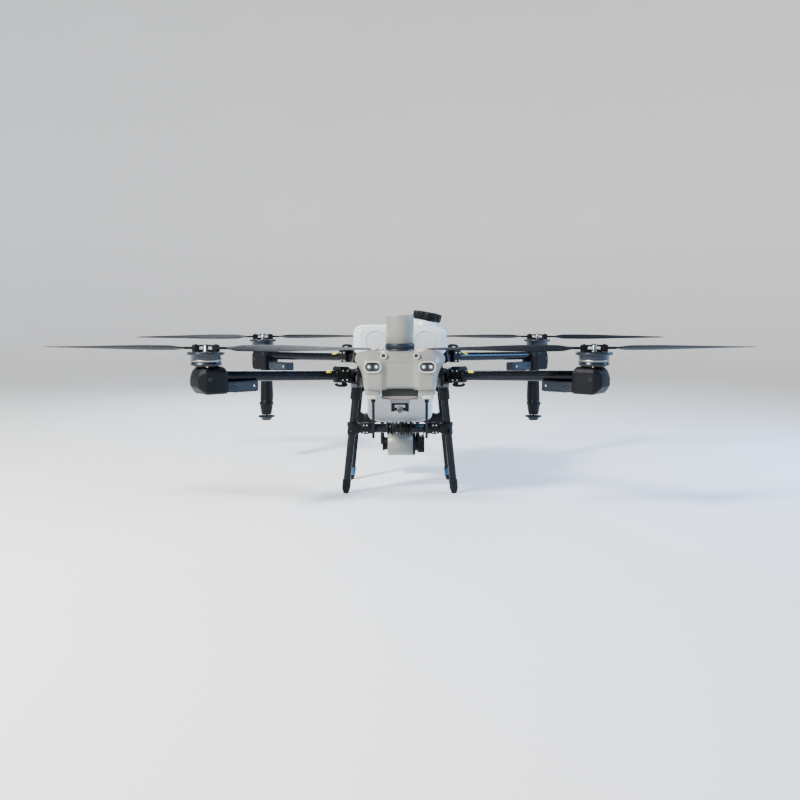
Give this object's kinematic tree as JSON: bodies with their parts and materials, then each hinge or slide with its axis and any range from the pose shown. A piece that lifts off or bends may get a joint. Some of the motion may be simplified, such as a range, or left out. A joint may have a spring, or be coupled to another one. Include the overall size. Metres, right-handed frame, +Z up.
{
  "type": "agricultural spray drone",
  "caption": "Four-arm agricultural spray drone with folding arms and propellers, a central tank, radars and spinning-disc sprinklers.",
  "frame": {"origin": "on the ground midway between the four feet, below the centre of the airframe", "axes": "-Y towards the nose, +X towards the drone's own left side, +Z up"},
  "size_m": [2.6642, 1.5208, 0.7788],
  "materials": {
    "carbon": "gloss carbon fibre",
    "dark_plastic": "textured black",
    "slate_plastic": "satin slate grey",
    "light_shell": "satin warm light grey",
    "tank_plastic": "translucent white",
    "lamp_metal": "reflector",
    "motor_metal": "dark anodised",
    "steel": "brushed",
    "rubber": "matte"
  },
  "bodies": {
    "airframe": {"centre_frame": "carbon", "hinge_brackets": "dark_plastic", "hinge_pins": "steel", "nose_shell": "light_shell", "chin_cover": "light_shell", "rear_deck": "light_shell", "headlights": "lamp_metal", "stereo_cameras": "dark_plastic", "front_radar": "light_shell", "fpv_bracket": "dark_plastic", "antenna_rods": "rubber", "leg_tubes": "carbon", "leg_collars": "dark_plastic", "leg_feet": "rubber", "cross_tubes": "carbon", "radar_mount": "dark_plastic", "rear_radar": "light_shell", "radar_cable": "rubber", "tank": "tank_plastic", "tank_strainer": "steel", "flight_controller": "slate_plastic", "pumps": "dark_plastic", "liquid_hoses": "rubber"},
    "filler_cap": {"tank_cap": "dark_plastic"},
    "battery_pack": {"battery": "dark_plastic"},
    "fpv_camera_ball": {"fpv_camera": "light_shell"},
    "arm_front_left": {"arm_tube_front_left": "carbon", "knuckle_front_left": "dark_plastic", "motor_pod_front_left": "dark_plastic"},
    "lever_front_left": {"lock_lever_front_left": "dark_plastic"},
    "propeller_front_left": {"rotor_front_left": "motor_metal"},
    "fold_blade_out_front_left": {"blade_out_front_left": "carbon"},
    "fold_blade_in_front_left": {"blade_in_front_left": "carbon"},
    "arm_front_right": {"arm_tube_front_right": "carbon", "knuckle_front_right": "dark_plastic", "motor_pod_front_right": "dark_plastic"},
    "lever_front_right": {"lock_lever_front_right": "dark_plastic"},
    "propeller_front_right": {"rotor_front_right": "motor_metal"},
    "fold_blade_out_front_right": {"blade_out_front_right": "carbon"},
    "fold_blade_in_front_right": {"blade_in_front_right": "carbon"},
    "arm_rear_left": {"arm_tube_rear_left": "carbon", "knuckle_rear_left": "dark_plastic", "motor_pod_rear_left": "dark_plastic", "sprinkler_left": "dark_plastic", "sprinkler_hose_left": "rubber"},
    "lever_rear_left": {"lock_lever_rear_left": "dark_plastic"},
    "propeller_rear_left": {"rotor_rear_left": "motor_metal"},
    "fold_blade_out_rear_left": {"blade_out_rear_left": "carbon"},
    "fold_blade_in_rear_left": {"blade_in_rear_left": "carbon"},
    "sprinkler_disc_left": {"spray_disc_left": "slate_plastic"},
    "arm_rear_right": {"arm_tube_rear_right": "carbon", "knuckle_rear_right": "dark_plastic", "motor_pod_rear_right": "dark_plastic", "sprinkler_right": "dark_plastic", "sprinkler_hose_right": "rubber"},
    "lever_rear_right": {"lock_lever_rear_right": "dark_plastic"},
    "propeller_rear_right": {"rotor_rear_right": "motor_metal"},
    "fold_blade_out_rear_right": {"blade_out_rear_right": "carbon"},
    "fold_blade_in_rear_right": {"blade_in_rear_right": "carbon"},
    "sprinkler_disc_right": {"spray_disc_right": "slate_plastic"}
  },
  "joints": [
    {"name": "filler_cap_turn", "type": "hinge", "parent": "airframe", "child": "filler_cap", "pos_m": [0.117, 0, 0.742], "axis": [0.1857, 0, 0.9826], "range_deg": [0, 90]},
    {"name": "battery_slide", "type": "slide", "parent": "airframe", "child": "battery_pack", "axis": [0, 0, 1], "range_m": [0, 0.12]},
    {"name": "fpv_tilt", "type": "hinge", "parent": "airframe", "child": "fpv_camera_ball", "pos_m": [0, -0.392, 0.388], "axis": [1, 0, 0], "range_deg": [-15, 45]},
    {"name": "arm_fold_front_left", "type": "hinge", "parent": "airframe", "child": "arm_front_left", "pos_m": [0.2, -0.25, 0.512], "axis": [-0.1717, -0.1914, 0.9664], "range_deg": [0, 91]},
    {"name": "lock_turn_front_left", "type": "hinge", "parent": "arm_front_left", "child": "lever_front_left", "pos_m": [0.22949, -0.27391, 0.51364], "axis": [0.0336, -0.0272, -0.9991], "range_deg": [0, 90]},
    {"name": "rotor_spin_front_left", "type": "hinge", "parent": "arm_front_left", "child": "propeller_front_left", "pos_m": [0.7025, -0.6575, 0.614], "axis": [0, 0, 1], "continuous": true},
    {"name": "blade_fold_out_front_left", "type": "hinge", "parent": "propeller_front_left", "child": "fold_blade_out_front_left", "pos_m": [0.74013, -0.65221, 0.642], "axis": [0, 0, -1], "range_deg": [-84, 0]},
    {"name": "blade_fold_in_front_left", "type": "hinge", "parent": "propeller_front_left", "child": "fold_blade_in_front_left", "pos_m": [0.66487, -0.66279, 0.642], "axis": [0, 0, 1], "range_deg": [-84, 0]},
    {"name": "arm_fold_front_right", "type": "hinge", "parent": "airframe", "child": "arm_front_right", "pos_m": [-0.2, -0.25, 0.512], "axis": [-0.1717, 0.1914, -0.9664], "range_deg": [0, 91]},
    {"name": "lock_turn_front_right", "type": "hinge", "parent": "arm_front_right", "child": "lever_front_right", "pos_m": [-0.22949, -0.27391, 0.51364], "axis": [0.0336, 0.0272, 0.9991], "range_deg": [0, 90]},
    {"name": "rotor_spin_front_right", "type": "hinge", "parent": "arm_front_right", "child": "propeller_front_right", "pos_m": [-0.7025, -0.6575, 0.614], "axis": [0, 0, -1], "continuous": true},
    {"name": "blade_fold_out_front_right", "type": "hinge", "parent": "propeller_front_right", "child": "fold_blade_out_front_right", "pos_m": [-0.74013, -0.65221, 0.642], "axis": [0, 0, 1], "range_deg": [-84, 0]},
    {"name": "blade_fold_in_front_right", "type": "hinge", "parent": "propeller_front_right", "child": "fold_blade_in_front_right", "pos_m": [-0.66487, -0.66279, 0.642], "axis": [0, 0, -1], "range_deg": [-84, 0]},
    {"name": "arm_fold_rear_left", "type": "hinge", "parent": "airframe", "child": "arm_rear_left", "pos_m": [0.21, 0.25, 0.56], "axis": [0.1771, -0.2156, -0.9603], "range_deg": [0, 110]},
    {"name": "lock_turn_rear_left", "type": "hinge", "parent": "arm_rear_left", "child": "lever_rear_left", "pos_m": [0.23927, 0.27422, 0.55911], "axis": [0.0181, 0.015, 0.9997], "range_deg": [0, 90]},
    {"name": "rotor_spin_rear_left", "type": "hinge", "parent": "arm_rear_left", "child": "propeller_rear_left", "pos_m": [0.7025, 0.6575, 0.614], "axis": [0, 0, 1], "continuous": true},
    {"name": "blade_fold_out_rear_left", "type": "hinge", "parent": "propeller_rear_left", "child": "fold_blade_out_rear_left", "pos_m": [0.74013, 0.65221, 0.642], "axis": [0, 0, -1], "range_deg": [-84, 0]},
    {"name": "blade_fold_in_rear_left", "type": "hinge", "parent": "propeller_rear_left", "child": "fold_blade_in_rear_left", "pos_m": [0.66487, 0.66279, 0.642], "axis": [0, 0, 1], "range_deg": [-84, 0]},
    {"name": "disc_spin_left", "type": "hinge", "parent": "arm_rear_left", "child": "sprinkler_disc_left", "pos_m": [0.687, 0.64, 0.232], "axis": [0, 0, 1], "continuous": true},
    {"name": "arm_fold_rear_right", "type": "hinge", "parent": "airframe", "child": "arm_rear_right", "pos_m": [-0.21, 0.25, 0.56], "axis": [0.1771, 0.2156, 0.9603], "range_deg": [0, 110]},
    {"name": "lock_turn_rear_right", "type": "hinge", "parent": "arm_rear_right", "child": "lever_rear_right", "pos_m": [-0.23927, 0.27422, 0.55911], "axis": [0.0181, -0.015, -0.9997], "range_deg": [0, 90]},
    {"name": "rotor_spin_rear_right", "type": "hinge", "parent": "arm_rear_right", "child": "propeller_rear_right", "pos_m": [-0.7025, 0.6575, 0.614], "axis": [0, 0, -1], "continuous": true},
    {"name": "blade_fold_out_rear_right", "type": "hinge", "parent": "propeller_rear_right", "child": "fold_blade_out_rear_right", "pos_m": [-0.74013, 0.65221, 0.642], "axis": [0, 0, 1], "range_deg": [-84, 0]},
    {"name": "blade_fold_in_rear_right", "type": "hinge", "parent": "propeller_rear_right", "child": "fold_blade_in_rear_right", "pos_m": [-0.66487, 0.66279, 0.642], "axis": [0, 0, -1], "range_deg": [-84, 0]},
    {"name": "disc_spin_right", "type": "hinge", "parent": "arm_rear_right", "child": "sprinkler_disc_right", "pos_m": [-0.687, 0.64, 0.232], "axis": [0, 0, -1], "continuous": true}
  ]
}
